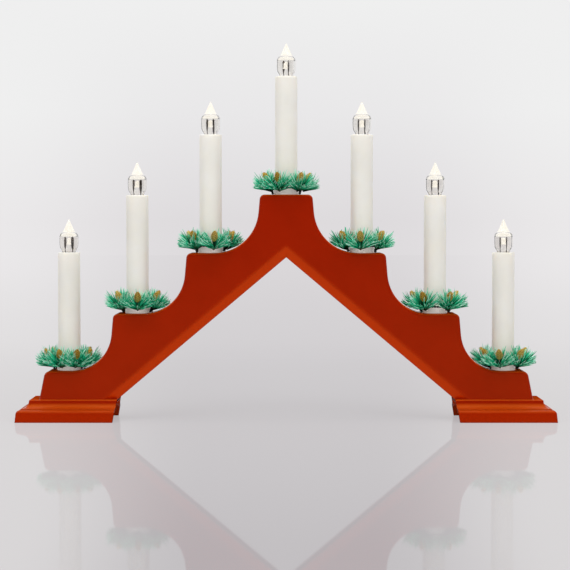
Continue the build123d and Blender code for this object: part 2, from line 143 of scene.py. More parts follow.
# Stems of the tufts: the first pitch that clears what lies below is taken
TUFT_SEED = 100
TUFT_DROP = 0.0024
TUFT_IN = 0.0004
STEM_PITCHES = (8, 16, 24, 32, 40)
STEM_LENGTH = 0.0046
STEM_RADIUS = 0.0008
STEM_TAPER = 0.5
STEM_SIDES = 6
# Stems take the darkest needle shades: painted shade in the heart of the tuft
STEM_SHADES = ((0.0, 0.0), (0.5, 0.0), (1.0, 0.1))
STEM_CLEARANCE = 0.0010

# Needles: rings are shares of the length with shares of the width, scatters are limits of random shares
NEEDLE_COUNT = 205
NEEDLE_LENGTH = 0.0168
NEEDLE_WIDTH = 0.0008
NEEDLE_SIDES = 3
NEEDLE_RINGS = ((0.0, 0.7), (0.3, 1.0), (0.7, 0.8), (0.97, 0.3))
NEEDLE_CUTS = (1.0, 0.86, 0.74, 0.64)
NEEDLE_SPREAD = 72
NEEDLE_CROWDING = 0.62
NEEDLE_LOWEST = 0.24
NEEDLE_BEND = 0.08
NEEDLE_DROOP = 0.06
NEEDLE_TINT = 0.24
FAN_PITCH = 64
FAN_SCATTER = 5
TURN_SCATTER = 0.3
SPREAD_SCATTER = 6
LOWEST_SCATTER = (-0.12, 0.24)
LENGTH_SCATTER = (0.8, 1.06)
WIDTH_SCATTER = (0.85, 1.15)

# Room that the needles keep: in the wreath's space, off the candle and the arch, and beside the cone
NEEDLE_REACH = 0.0259
NEEDLE_TOP = 0.0212
NEEDLE_CLEARANCE = 0.0006
CANDLE_CLEARANCE = 0.0098
CONE_GAP = 0.0036
CONE_GAP_BELOW = 0.001
CONE_GAP_BEHIND = 0.0004
CONE_GAP_SHARES = (0.5, 0.7, 0.9)

# Cones: the foot is a share of the radius, the belly and the run to the tip are shares of the length
CONE_SEED = 200
CONE_BASE = 0.00225
CONE_RISE = 0.0016
CONE_PITCH = 60
CONE_LENGTH = 0.0081
CONE_RADIUS = 0.0026
CONE_FOOT = 0.55
CONE_BELLY = 0.3
CONE_TIP_RUN = 0.76
CONE_TIP_POWER = 2.5
CONE_CORE = 0.72
CONE_STEPS = 8
CONE_SEGMENTS = 16
CONE_TINT = 0.12

# Cone scales: where the first and the last sit, then widths as shares of the radius, and thicknesses
SCALE_COUNT = 64
SCALE_FIRST = 0.03
SCALE_LAST = 0.97
SCALE_ROOT = 0.6
SCALE_RISE = 0.0007
SCALE_HALF = 0.5
SCALE_EXTRA = 0.00018
SCALE_THICK = 0.00028
SCALE_KEEL = 1.4
SCALE_ROOT_WIDTH = 0.7
SCALE_CURL = 0.2
SCALE_LIP_WIDTH = 0.35
SCALE_LIP_RISE = 0.0003
SCALE_LIP_THICK = 0.0005
# Shades of a scale's root, sides and lip: painted shade at the root, painted highlight on the lip
SCALE_SHADES = (0.1, 0.7, 0.95)

# Looks of the arch: edge radii, then the surface directions or heights between which each painted tint of
# light or shade comes in
SOFT_EDGE = 0.0034
FINE_EDGE = 0.0008
ROUND_EDGE = 0.0016
UNDERSIDE_FROM_TO = (-0.06, -0.42)
TOPSIDE_FROM_TO = (0.12, 0.7)
SLAB_FROM_TO = (0.012, 0.004)
INNER_FROM_TO = (0.8, 0.95)
LEVEL_FROM_TO = (0.9, 0.99)
ARCH_SPECULAR = 0.6
ARCH_SPECULAR_TINT = (1.0, 0.38, 0.08, 1.0)

# Colours as the eye reads them, 0 to 255
# Arch reds of painted light and shade: floor light on undersides, top light on upward faces, floor light on
# the slabs, shade at the feet's inner ends
UNDERSIDE_PAINTED_LIGHT_RED = (190, 48, 0)
TOPSIDE_PAINTED_LIGHT_RED = (180, 64, 8)
SLAB_PAINTED_LIGHT_RED = (155, 30, 0)
INNER_PAINTED_SHADE_RED = (78, 3, 0)
# Needle colours from root to tip: painted shade at the root, their own green in the middle, painted highlight
# at the tip
NEEDLE_COLOURS = (
    (0.0, (0, 14, 6)), (0.22, (0, 72, 44)), (0.5, (0, 144, 98)),
    (0.8, (44, 196, 148)), (1.0, (206, 246, 228)),
)
# Cone colours: painted shade at the dark end, then gold, then a painted highlight at the pale end
CONE_COLOURS = (
    (0.0, (70, 40, 8)), (0.4, (176, 128, 30)), (0.75, (222, 182, 70)), (1.0, (244, 220, 136)),
)

# Stage: a pale glossy floor that fades into a pale background, with painted shade that makes it darker near
# the object and behind it than beside it
FLOOR_SIZE = 12.0
FLOOR_GLOSS = 0.15
FLOOR_GLOSS_ROUGHNESS = 0.03
FLOOR_SHADED = 0.2
FLOOR_GLOW = 0.95
FLOOR_FRONT = -0.55
FLOOR_NEAR = 0.725
FLOOR_SOFT = 0.08
FLOOR_SIDE = 0.8
SHADE_FROM_TO = (1.2, 2.1)
GLOSS_FROM_TO = (1.6, 5.0)
PAINTED_SHADE_PATCH_FROM_TO = (0.05, 0.17)
FLOOR_MIDDLE = ((0.0, (222, 219, 221)), (1.0, (189, 185, 188)))
FLOOR_EDGE = ((0.1, (234, 232, 233)), (0.55, (220, 217, 218)), (1.0, (215, 212, 213)))
SKY_TOP = 0.125
SKY_MIDDLE = ((0.0, (222, 219, 221)), (0.5, (233, 232, 233)), (1.0, (239, 239, 239)))
SKY_EDGE = ((0.0, (234, 232, 233)), (0.5, (239, 239, 239)))

# Light: the part of the background that gloss and clear plastic see, from the front to the rear
GLOSSY_SKY_FROM_TO = (-0.5, 0.2)
GLOSSY_SKY_LEAST = 0.03
CLEAR_SKY_FROM_TO = (-0.1, 0.9)
CLEAR_SKY_LEAST = 0.35
WORLD_LIGHT = 0.56

# Softboxes: name, place, size and power, all aimed at the middle of the object
SOFTBOX_AIM = (0, 0, 0.12)
SOFTBOXES = (
    ("left softbox", (-1.2, -1.3, 0.9), 1.0, 5),
    ("right softbox", (1.2, -1.3, 0.9), 1.0, 6),
    ("top softbox", (0, -0.45, 1.35), 1.4, 15),
    ("left fill", (-1.0, -1.2, 0.3), 0.5, 1.35),
    ("right fill", (1.0, -1.2, 0.3), 0.5, 1.35),
)

# Meshes: edges sharper than this angle stay sharp, and a piece without shades takes the plain one
SHARP_ANGLE = 38
PLAIN_SHADE = 0.5
NEAR_UPRIGHT = 0.9


class Shape:
    """Points and faces of a piece as they are gathered, with a shade from 0 to 1 for each point."""

    def __init__(self):
        self.points = []
        self.faces = []
        self.shades = []

    def add_rings(self, rings, shades=None, closed=False, capped=False):
        """Join rings of equally many points by quads, and close the ends if asked."""
        first = len(self.points)
        count = len(rings[0])
        for ring, shade in zip(rings, shades or [PLAIN_SHADE] * len(rings)):
            self.points.extend(ring)
            self.shades.extend([shade] * count)
        pairs = list(zip(range(len(rings)), range(1, len(rings))))
        if closed:
            pairs.append((len(rings) - 1, 0))
        for low, high in pairs:
            for side in range(count):
                after = (side + 1) % count
                self.faces.append((
                    first + low * count + side,
                    first + low * count + after,
                    first + high * count + after,
                    first + high * count + side,
                ))
        if capped:
            last = first + (len(rings) - 1) * count
            self.faces.append(tuple(range(first + count - 1, first - 1, -1)))
            self.faces.append(tuple(range(last, last + count)))


def add_piece(name, shape, material, body, slot, *replaced):
    """Make a piece of gathered points and faces, which rides on a body and stands for CAD nodes."""
    mesh = bpy.data.meshes.new(name)
    mesh.from_pydata(shape.points, [], shape.faces)
    shade = mesh.attributes.new("shade", "FLOAT", "POINT")
    shade.data.foreach_set("value", shape.shades)
    mesh.shade_smooth()
    mesh.set_sharp_from_angle(angle=radians(SHARP_ANGLE))
    mesh.materials.append(material)
    piece = bpy.data.objects.new(name, mesh)
    bpy.context.scene.collection.objects.link(piece)
    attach(piece, body)
    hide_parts(*replaced)


def circle(centre, across, along, radius, sides, turn=0.0):
    """Points of a circle in the plane of two unit vectors."""
    ring = []
    for side in range(sides):
        angle = turn + tau * side / sides
        ring.append(centre + radius * (cos(angle) * across + sin(angle) * along))
    return ring


def square_to(direction):
    """Two unit vectors square to a direction and to each other."""
    helper = UP if abs(direction.z) < NEAR_UPRIGHT else EAST
    across = direction.cross(helper).normalized()
    return across, across.cross(direction).normalized()


def quarter_round(share):
    """Height of a quarter circle at a share of its width, and full height beyond it."""
    return (1 - (1 - min(1.0, share)) ** 2) ** 0.5


def smooth_outline(outline, height):
    """Radius at a height, on a smooth curve through an outline's points."""
    for index in range(len(outline) - 1):
        low, high = outline[index], outline[index + 1]
        if height <= high[0]:
            break
    before = outline[max(index - 1, 0)]
    after = outline[min(index + 2, len(outline) - 1)]
    span = high[0] - low[0]
    share = (height - low[0]) / span
    low_slope = (high[1] - before[1]) / (high[0] - before[0]) * span
    high_slope = (after[1] - low[1]) / (after[0] - low[0]) * span
    square, cube = share ** 2, share ** 3
    return (
        (2 * cube - 3 * square + 1) * low[1] + (cube - 2 * square + share) * low_slope
        + (3 * square - 2 * cube) * high[1] + (cube - square) * high_slope
    )


def candle_place(number):
    """Where a candle stands on its plateau, and the height of its sleeve's top."""
    low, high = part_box(f"candle_sleeve_{number}")
    return Vector(((low.x + high.x) / 2, (low.y + high.y) / 2, low.z - COLLAR_HEIGHT)), high.z


# Shader nodes

def srgb(red, green, blue):
    """A colour as the eye reads it, 0 to 255, turned into the linear colour that shaders take."""
    channels = []
    for value in (red, green, blue):
        share = value / 255
        channels.append(share / 12.92 if share <= 0.04045 else ((share + 0.055) / 1.055) ** 2.4)
    return (*channels, 1.0)


def feed(tree, socket, value):
    """Link a node's output to a socket, or set a plain value on it."""
    if isinstance(value, bpy.types.NodeSocket):
        tree.links.new(value, socket)
    else:
        socket.default_value = value


def new_material(name):
    """A material with its node tree and main shader."""
    material = bpy.data.materials.new(name)
    material.use_nodes = True
    return material, material.node_tree, material.node_tree.nodes["Principled BSDF"]


def add_place(tree, kind):
    """The parts of a place in one kind of coordinates."""
    place = tree.nodes.new("ShaderNodeTexCoord")
    split = tree.nodes.new("ShaderNodeSeparateXYZ")
    tree.links.new(place.outputs[kind], split.inputs["Vector"])
    return split.outputs


def add_normal(tree, radius):
    """The parts of the surface's direction, softened over a radius at the edges."""
    bevel = tree.nodes.new("ShaderNodeBevel")
    bevel.inputs["Radius"].default_value = radius
    split = tree.nodes.new("ShaderNodeSeparateXYZ")
    tree.links.new(bevel.outputs["Normal"], split.inputs["Vector"])
    return split.outputs


def add_shade(tree):
    """The shade that a piece's points carry."""
    shade = tree.nodes.new("ShaderNodeAttribute")
    shade.attribute_name = "shade"
    return shade.outputs["Fac"]


def add_noise(tree, scale, detail, stretch=(1, 1, 1)):
    """Noise in the frame's own coordinates, as a value from 0 to 1."""
    place = tree.nodes.new("ShaderNodeTexCoord")
    mapping = tree.nodes.new("ShaderNodeMapping")
    mapping.inputs["Scale"].default_value = stretch
    noise = tree.nodes.new("ShaderNodeTexNoise")
    noise.inputs["Scale"].default_value = scale
    noise.inputs["Detail"].default_value = detail
    tree.links.new(place.outputs["Object"], mapping.inputs["Vector"])
    tree.links.new(mapping.outputs["Vector"], noise.inputs["Vector"])
    return noise.outputs["Fac"]


def add_ramp(tree, value, stops):
    """Colours along a value: each stop is a place from 0 to 1 and a colour."""
    ramp = tree.nodes.new("ShaderNodeValToRGB")
    elements = ramp.color_ramp.elements
    while len(elements) < len(stops):
        elements.new(0.5)
    for element, (position, colour) in zip(elements, stops):
        element.position = position
        element.color = srgb(*colour)
    tree.links.new(value, ramp.inputs["Fac"])
    return ramp.outputs["Color"]


def add_cloud(tree, noise, dark, light):
    """A colour that drifts between a dark and a light one with a noise."""
    return add_ramp(tree, noise, ((0.3, dark), (0.7, light)))


def add_range(tree, value, low, high):
    """A value from 0 to 1 spread between two limits."""
    spread = tree.nodes.new("ShaderNodeMapRange")
    spread.inputs["To Min"].default_value = low
    spread.inputs["To Max"].default_value = high
    tree.links.new(value, spread.inputs["Value"])
    return spread.outputs["Result"]


def add_smooth(tree, value, from_to, low=0.0, high=1.0):
    """A smooth rise from one level to another between two values."""
    rise = tree.nodes.new("ShaderNodeMapRange")
    rise.interpolation_type = "SMOOTHSTEP"
    rise.inputs["From Min"].default_value = from_to[0]
    rise.inputs["From Max"].default_value = from_to[1]
    rise.inputs["To Min"].default_value = low
    rise.inputs["To Max"].default_value = high
    tree.links.new(value, rise.inputs["Value"])
    return rise.outputs["Result"]


def add_math(tree, operation, first, second=0.0):
    """One step of arithmetic on node values or plain numbers."""
    step = tree.nodes.new("ShaderNodeMath")
    step.operation = operation
    feed(tree, step.inputs[0], first)
    feed(tree, step.inputs[1], second)
    return step.outputs["Value"]


def add_blend(tree, share, first, second):
    """A colour between two colours."""
    blend = tree.nodes.new("ShaderNodeMix")
    blend.data_type = "RGBA"
    tree.links.new(share, blend.inputs["Factor"])
    feed(tree, blend.inputs["A"], first)
    feed(tree, blend.inputs["B"], second)
    return blend.outputs["Result"]


def add_shader_mix(tree, share, first, second):
    """A shader between two shaders."""
    mix = tree.nodes.new("ShaderNodeMixShader")
    tree.links.new(share, mix.inputs["Fac"])
    tree.links.new(first, mix.inputs[1])
    tree.links.new(second, mix.inputs[2])
    return mix.outputs["Shader"]


def add_bump(tree, shader, value, strength, distance):
    """Bump of a value on a shader, over any bump that it has."""
    bump = tree.nodes.new("ShaderNodeBump")
    bump.inputs["Strength"].default_value = strength
    bump.inputs["Distance"].default_value = distance
    tree.links.new(value, bump.inputs["Height"])
    if shader.inputs["Normal"].is_linked:
        tree.links.new(shader.inputs["Normal"].links[0].from_socket, bump.inputs["Normal"])
    tree.links.new(bump.outputs["Normal"], shader.inputs["Normal"])


def round_edges(tree, shader, radius):
    """Round the look of sharp edges, under the bump that the material has."""
    bevel = tree.nodes.new("ShaderNodeBevel")
    bevel.inputs["Radius"].default_value = radius
    lowest = shader.inputs["Normal"].links[0].from_node
    while lowest.inputs["Normal"].is_linked:
        lowest = lowest.inputs["Normal"].links[0].from_node
    tree.links.new(bevel.outputs["Normal"], lowest.inputs["Normal"])


def tint_where(tree, shader, share, colour):
    """Blend a colour into a shader's own where a share from 0 to 1 says so."""
    own = shader.inputs["Base Color"].links[0].from_socket
    tree.links.new(add_blend(tree, share, own, srgb(*colour)), shader.inputs["Base Color"])


# Materials

def moulded_plastic(name, dark, light, roughness, grain, waves=0.06):
    """Moulded plastic: a faint cloud in its colour, uneven gloss, slight waves and a fine orange peel."""
    material, tree, shader = new_material(name)
    cloud = add_noise(tree, scale=38, detail=3)
    tree.links.new(add_cloud(tree, cloud, dark, light), shader.inputs["Base Color"])
    gloss = add_noise(tree, scale=240, detail=4)
    tree.links.new(add_range(tree, gloss, *roughness), shader.inputs["Roughness"])
    add_bump(tree, shader, add_noise(tree, scale=60, detail=1), strength=waves, distance=0.0004)
    add_bump(tree, shader, add_noise(tree, scale=1400, detail=2), strength=grain, distance=0.00006)
    return material, tree, shader


def make_red_plastic():
    """Arch: painted light makes it lighter where it looks down, where it looks up and on the feet's slabs
    near the floor, painted shade makes the feet's inner ends darker, with shine on the sides.
    """
    material, tree, shader = moulded_plastic(
        "red moulded plastic",
        dark=(139, 17, 0), light=(146, 20, 1), roughness=(0.20, 0.26), grain=0.03, waves=0.005,
    )
    soft = add_normal(tree, SOFT_EDGE)
    fine = add_normal(tree, FINE_EDGE)
    place = add_place(tree, "Object")
    # painted light from the bright floor on the faces that look down
    tint_where(tree, shader, add_smooth(tree, soft["Z"], UNDERSIDE_FROM_TO), UNDERSIDE_PAINTED_LIGHT_RED)
    # painted top light on the faces that look up, such as the feet's coves and ledges
    tint_where(tree, shader, add_smooth(tree, fine["Z"], TOPSIDE_FROM_TO), TOPSIDE_PAINTED_LIGHT_RED)
    # painted light: lighter red on the feet's slabs, near the bright floor
    tint_where(tree, shader, add_smooth(tree, place["Z"], SLAB_FROM_TO), SLAB_PAINTED_LIGHT_RED)
    # painted shade: dark red on the faces that look inwards, such as the feet's ends under the arch
    outwards = add_math(tree, "MULTIPLY", fine["X"], add_math(tree, "SIGN", place["X"]))
    inner = add_smooth(tree, add_math(tree, "MULTIPLY", outwards, -1.0), INNER_FROM_TO)
    tint_where(tree, shader, inner, INNER_PAINTED_SHADE_RED)
    level = add_smooth(tree, fine["Z"], LEVEL_FROM_TO)
    dull = add_math(tree, "MAXIMUM", level, inner)
    tree.links.new(add_range(tree, dull, ARCH_SPECULAR, 0.0), shader.inputs["Specular IOR Level"])
    shader.inputs["Specular Tint"].default_value = ARCH_SPECULAR_TINT
    round_edges(tree, shader, ROUND_EDGE)
    return material


def make_white_plastic():
    """Cups: bright white, with a faint painted glow that lifts them out of the wreath's shade."""
    material, _, shader = moulded_plastic(
        "white moulded plastic",
        dark=(246, 243, 236), light=(251, 249, 244), roughness=(0.30, 0.40), grain=0.06,
    )
    # painted glow: the cups are no lamp
    shader.inputs["Emission Color"].default_value = srgb(255, 250, 240)
    shader.inputs["Emission Strength"].default_value = 0.12
    return material


def make_candle_plastic():
    """Sleeves: milky, with a faint painted glow all over and a stronger painted glow of the lamp's light in
    their upper ends.
    """
    material, tree, shader = moulded_plastic(
        "candle plastic",
        dark=(222, 218, 206), light=(228, 225, 215), roughness=(0.36, 0.48), grain=0.06,
    )
    shader.inputs["Subsurface Weight"].default_value = 0.6
    shader.inputs["Subsurface Radius"].default_value = (1.0, 0.85, 0.65)
    shader.inputs["Subsurface Scale"].default_value = 0.006
    # painted glow, faint all over and stronger towards the top, where the lamp sits
    height = add_place(tree, "Generated")["Z"]
    light = add_smooth(tree, height, from_to=(0.74, 1.0), low=0.05, high=0.1)
    tree.links.new(light, shader.inputs["Emission Strength"])
    shader.inputs["Emission Color"].default_value = srgb(255, 236, 222)
    return material


def make_metal(name, dark, light, roughness):
    """Plain metal with a faint tarnish."""
    material, tree, shader = new_material(name)
    tarnish = add_noise(tree, scale=420, detail=3)
    tree.links.new(add_cloud(tree, tarnish, dark, light), shader.inputs["Base Color"])
    tree.links.new(add_range(tree, tarnish, *roughness), shader.inputs["Roughness"])
    shader.inputs["Metallic"].default_value = 1.0
    return material


def make_clear_plastic():
    """Clear moulded plastic of the lamps, faintly uneven."""
    material, tree, shader = new_material("clear plastic")
    tint = add_noise(tree, scale=90, detail=2)
    colour = add_cloud(tree, tint, dark=(246, 244, 241), light=(251, 250, 248))
    tree.links.new(colour, shader.inputs["Base Color"])
    tree.links.new(add_range(tree, tint, 0.01, 0.06), shader.inputs["Roughness"])
    shader.inputs["Transmission Weight"].default_value = 1.0
    shader.inputs["IOR"].default_value = 1.49
    ripple = add_noise(tree, scale=320, detail=2, stretch=(1, 1, 0.3))
    add_bump(tree, shader, ripple, strength=0.12, distance=0.0003)
    return material


def make_lit_plastic(name, plain, dim, bright, strength):
    """Milky plastic that the lamp's own light fills."""
    material, tree, shader = new_material(name)
    cloud = add_noise(tree, scale=260, detail=2)
    tree.links.new(add_cloud(tree, cloud, dim, bright), shader.inputs["Emission Color"])
    shader.inputs["Base Color"].default_value = srgb(*plain)
    shader.inputs["Emission Strength"].default_value = strength
    shader.inputs["Roughness"].default_value = 0.35
    return material


def make_pine_plastic():
    """Needles: green, darkened towards the root by painted shade and paled at the tip by a painted highlight,
    each a little different.
    """
    material, tree, shader = new_material("pine needle plastic")
    tree.links.new(add_ramp(tree, add_shade(tree), NEEDLE_COLOURS), shader.inputs["Base Color"])
    gloss = add_noise(tree, scale=500, detail=2)
    tree.links.new(add_range(tree, gloss, 0.3, 0.5), shader.inputs["Roughness"])
    shader.inputs["Specular IOR Level"].default_value = 0.25
    add_bump(tree, shader, add_noise(tree, scale=2200, detail=1), strength=0.15, distance=0.00005)
    return material


def make_cone_plastic():
    """Gold-painted cones: painted shade, dark brown, between the scales and a painted highlight on their
    edges.
    """
    material, tree, shader = new_material("cone plastic")
    tree.links.new(add_ramp(tree, add_shade(tree), CONE_COLOURS), shader.inputs["Base Color"])
    gloss = add_noise(tree, scale=900, detail=2)
    tree.links.new(add_range(tree, gloss, 0.28, 0.5), shader.inputs["Roughness"])
    add_bump(tree, shader, add_noise(tree, scale=2600, detail=2), strength=0.2, distance=0.00006)
    return material


red_plastic = make_red_plastic()
white_plastic = make_white_plastic()
candle_plastic = make_candle_plastic()
socket_plastic = moulded_plastic(
    "socket plastic", dark=(206, 203, 196), light=(216, 213, 206), roughness=(0.4, 0.5), grain=0.05
)[0]
wire_jacket = moulded_plastic(
    "wire jacket", dark=(168, 162, 148), light=(182, 176, 160), roughness=(0.4, 0.55), grain=0.05
)[0]
black_rubber = moulded_plastic(
    "black rubber", dark=(22, 22, 22), light=(32, 32, 31), roughness=(0.55, 0.7), grain=0.2
)[0]
black_wire = moulded_plastic(
    "black wire", dark=(15, 20, 17), light=(30, 36, 31), roughness=(0.35, 0.55), grain=0.2
)[0]
lamp_metal = make_metal("lamp cap metal", dark=(176, 168, 150), light=(214, 208, 192), roughness=(0.22, 0.38))
solder = make_metal("solder", dark=(150, 150, 148), light=(190, 190, 188), roughness=(0.35, 0.5))
leg_metal = make_metal("LED leg metal", dark=(58, 50, 46), light=(84, 74, 68), roughness=(0.3, 0.45))
clear_plastic = make_clear_plastic()
lit_tip = make_lit_plastic(
    "lit lamp tip", plain=(132, 128, 120), dim=(250, 244, 230), bright=(255, 252, 246), strength=0.9
)
lit_led = make_lit_plastic(
    "lit LED", plain=(150, 146, 138), dim=(252, 246, 232), bright=(255, 251, 243), strength=0.84
)
pine_plastic = make_pine_plastic()
cone_plastic = make_cone_plastic()

# CAD pieces whose shape is kept
kept = {
    "arch_body": red_plastic,
    "lamp_sockets": socket_plastic,
    "wiring": wire_jacket,
    "cable_gland": black_rubber,
}
for number in NUMBERS:
    kept[f"candle_cup_{number}"] = white_plastic
    kept[f"candle_sleeve_{number}"] = candle_plastic
    kept[f"lamp_contact_{number}"] = solder
for node, material in kept.items():
    nodes[node].data.materials.clear()
    nodes[node].data.materials.append(material)


# Lamps

def fluted_ring(centre, radius, depth):
    """Points of a level circle with flutes of a depth pressed into it."""
    ring = []
    for side in range(FLAME_SEGMENTS):
        angle = tau * side / FLAME_SEGMENTS
        fluted = radius + depth * (cos(FLUTES * angle) - 1) / 2
        ring.append(centre + fluted * (cos(angle) * EAST + sin(angle) * NORTH))
    return ring


def add_flame(number, place, top):
    """Clear flame with a fluted cavity, on its neck."""
    shape = Shape()
    centre = Vector((place.x, place.y, top))
    neck = Vector((place.x, place.y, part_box(f"lamp_envelope_{number}")[0].z))
    neck_radius = FLAME_OUTLINE[0][1]
    outer = [circle(neck, EAST, NORTH, neck_radius, FLAME_SEGMENTS)]
    for step in range(FLAME_STEPS + 1):
        height = FLAME_OUTLINE[-1][0] * step / FLAME_STEPS
        radius = smooth_outline(FLAME_OUTLINE, height)
        outer.append(circle(centre + height * UP, EAST, NORTH, radius, FLAME_SEGMENTS))
    outer.append(circle(centre + FLAME_TOP * UP, EAST, NORTH, FLAME_TOP_RADIUS, FLAME_SEGMENTS))
    inner = []
    for step in range(FLAME_STEPS + 1):
        share = step / FLAME_STEPS
        height = CAVITY_TOP * (1 - share)
        fade = min(1.0, share / FLUTE_FADE_TOP) * min(1.0, (1 - share) / FLUTE_FADE_NECK)
        dome = max(quarter_round(share / CAVITY_DOME), CAVITY_LEAST_DOME)
        radius = (smooth_outline(FLAME_OUTLINE, height) - FLAME_WALL) * dome
        inner.append(fluted_ring(centre + height * UP, radius, FLUTE_DEPTH * fade))
    inner.append(circle(neck, EAST, NORTH, neck_radius - FLAME_WALL, FLAME_SEGMENTS))
    shape.add_rings(outer)
    shape.faces.append(tuple(range(len(shape.points) - FLAME_SEGMENTS, len(shape.points))))
    first = len(shape.points)
    shape.add_rings(inner)
    shape.faces.append(tuple(range(first + FLAME_SEGMENTS - 1, first - 1, -1)))
    last = len(shape.points) - FLAME_SEGMENTS
    for side in range(FLAME_SEGMENTS):
        after = (side + 1) % FLAME_SEGMENTS
        shape.faces.append((side, last + side, last + after, after))
    add_piece(
        f"lamp_flame_{number}", shape, clear_plastic,
        f"lamp_{number}", "clear_plastic", f"lamp_envelope_{number}",
    )


def add_lens(number, place, top):
    """The lit core that fills the flame's solid tip."""
    shape = Shape()
    rings = []
    lens_height = FLAME_OUTLINE[-1][0] - LENS_BOTTOM
    for step in range(FLAME_STEPS + 1):
        share = step / FLAME_STEPS
        height = LENS_BOTTOM + lens_height * share
        rounding = quarter_round((share + LENS_ROUND_START) / LENS_ROUND)
        radius = max(rounding * (smooth_outline(FLAME_OUTLINE, height) - LENS_SHRINK), LENS_LEAST_RADIUS)
        rings.append(circle(Vector((place.x, place.y, top + height)), EAST, NORTH, radius, LENS_SEGMENTS))
    shape.add_rings(rings, capped=True)
    add_piece(
        f"lamp_glow_{number}", shape, lit_tip,
        f"lamp_{number}", "clear_plastic", f"lamp_envelope_{number}",
    )


def add_cap(number, place):
    """Screw cap with a rolled thread."""
    shape = Shape()
    foot = Vector((place.x, place.y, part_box(f"lamp_base_{number}")[0].z))
    rings = [circle(foot, EAST, NORTH, CAP_TIP_RADIUS, CAP_SEGMENTS)]
    for step in range(CAP_STEPS + 1):
        height = CAP_TIP_HEIGHT + (CAP_LENGTH - CAP_TIP_HEIGHT) * step / CAP_STEPS
        ring = []
        for side in range(CAP_SEGMENTS):
            angle = tau * side / CAP_SEGMENTS
            radius = CAP_RADIUS - CAP_THREAD_DEPTH
            if CAP_THREAD_START < height < CAP_THREAD_END:
                radius += CAP_THREAD_DEPTH * cos(tau * height / CAP_THREAD_PITCH - angle)
            ring.append(foot + Vector((radius * cos(angle), radius * sin(angle), height)))
        rings.append(ring)
    shape.add_rings(rings, capped=True)
    add_piece(
        f"lamp_cap_{number}", shape, lamp_metal,
        f"lamp_{number}", "lamp_metal", f"lamp_base_{number}",
    )


def add_led(number, place, cap_top):
    """LED with its flange and dome."""
    shape = Shape()
    bottom = cap_top + LED_LEG_LENGTH
    dome_bottom = LED_HEIGHT - LED_RADIUS
    outline = [
        (0.0, LED_RADIUS + LED_FLANGE),
        (LED_FLANGE_HEIGHT, LED_RADIUS + LED_FLANGE),
        (LED_FLANGE_HEIGHT, LED_RADIUS),
        (dome_bottom, LED_RADIUS),
    ]
    for step in range(1, LED_DOME_STEPS):
        angle = pi / 2 * step / LED_DOME_STEPS
        outline.append((dome_bottom + LED_RADIUS * sin(angle), LED_RADIUS * cos(angle)))
    rings = []
    for height, radius in outline:
        rings.append(circle(Vector((place.x, place.y, bottom + height)), EAST, NORTH, radius, LED_SEGMENTS))
    shape.add_rings(rings, capped=True)
    add_piece(
        f"lamp_led_{number}", shape, lit_led,
        f"lamp_{number}", "clear_plastic", f"lamp_base_{number}",
    )


def add_led_legs(number, place, top, cap_top):
    """The two legs that carry an LED and end in posts beside it."""
    shape = Shape()
    turn = radians(LED_TURNS[number - 1])
    across = Vector((cos(turn), sin(turn), 0))
    length = LED_POST_TOP + top - cap_top
    for side in (-1, 1):
        foot = Vector((place.x, place.y, cap_top)) + side * LED_LEG_SPREAD * across
        rings = []
        for share, width in LED_LEG_OUTLINE:
            centre = foot + share * length * UP
            radius = width * LED_LEG_WIDTH
            rings.append(circle(centre, EAST, NORTH, radius, LED_LEG_SIDES, pi / LED_LEG_SIDES))
        shape.add_rings(rings, capped=True)
    add_piece(
        f"lamp_legs_{number}", shape, leg_metal,
        f"lamp_{number}", "lamp_metal", f"lamp_base_{number}",
    )


# Wreaths

def outward_at(angle):
    """Level unit vector that points out of a wreath at an angle from the front."""
    return Vector((sin(radians(angle)), -cos(radians(angle)), 0))


def pitched(outward, pitch):
    """A level direction raised by a pitch in degrees."""
    return outward * cos(radians(pitch)) + UP * sin(radians(pitch))


def solid_near(number):
    """The arch with a candle's own cup and sleeve, to keep needles off and legs on."""
    points = []
    faces = []
    for node in ("arch_body", f"candle_cup_{number}", f"candle_sleeve_{number}"):
        mesh = nodes[node].data
        first = len(points)
        points.extend(vertex.co.copy() for vertex in mesh.vertices)
        for polygon in mesh.polygons:
            faces.append([first + index for index in polygon.vertices])
    return BVHTree.FromPolygons(points, faces)


def add_strands(shape, path, strand, turns, closed=False):
    """Two wires twisted about a path of (point, across, along) steps."""
    count = len(path)
    for phase in (0, pi):
        rings = []
        for step, (point, across, along) in enumerate(path):
            share = step / (count if closed else count - 1)
            angle = phase + tau * turns * share
            centre = point + strand * (cos(angle) * across + sin(angle) * along)
            rings.append(circle(centre, across, along, strand, STRAND_SIDES))
        shape.add_rings(rings, closed=closed, capped=not closed)


def add_ring(number, place, solid):
    """Twisted wire ring on four twisted legs that stand on the arch."""
    shape = Shape()
    path = []
    for step in range(RING_STEPS):
        outward = outward_at(360 * step / RING_STEPS)
        path.append((place + RING_RADIUS * outward + RING_HEIGHT * UP, outward, UP))
    add_strands(shape, path, RING_STRAND, RING_TWISTS, closed=True)
    for angle in LEG_ANGLES:
        outward = outward_at(angle)
        top = place + RING_RADIUS * outward + RING_HEIGHT * UP
        above_foot = top - LEG_LEAN * outward
        foot = solid.ray_cast(above_foot, -UP)[0] + LEG_STRAND * UP
        across, along = square_to((top - foot).normalized())
        path = []
        for step in range(LEG_STEPS + 1):
            path.append((foot + (top - foot) * step / LEG_STEPS, across, along))
        add_strands(shape, path, LEG_STRAND, LEG_TWISTS)
    add_piece(
        f"wire_ring_{number}", shape, black_wire,
        f"wreath_{number}", "black_wire", f"wreath_frame_{number}",
    )


def cone_ends(place, outward):
    """Foot and tip of the cone that stands in the tuft on a side of the ring."""
    axis = pitched(outward, CONE_PITCH)
    foot = place + RING_RADIUS * outward + (RING_HEIGHT + CONE_RISE) * UP + CONE_BASE * axis
    return foot, foot + CONE_LENGTH * axis


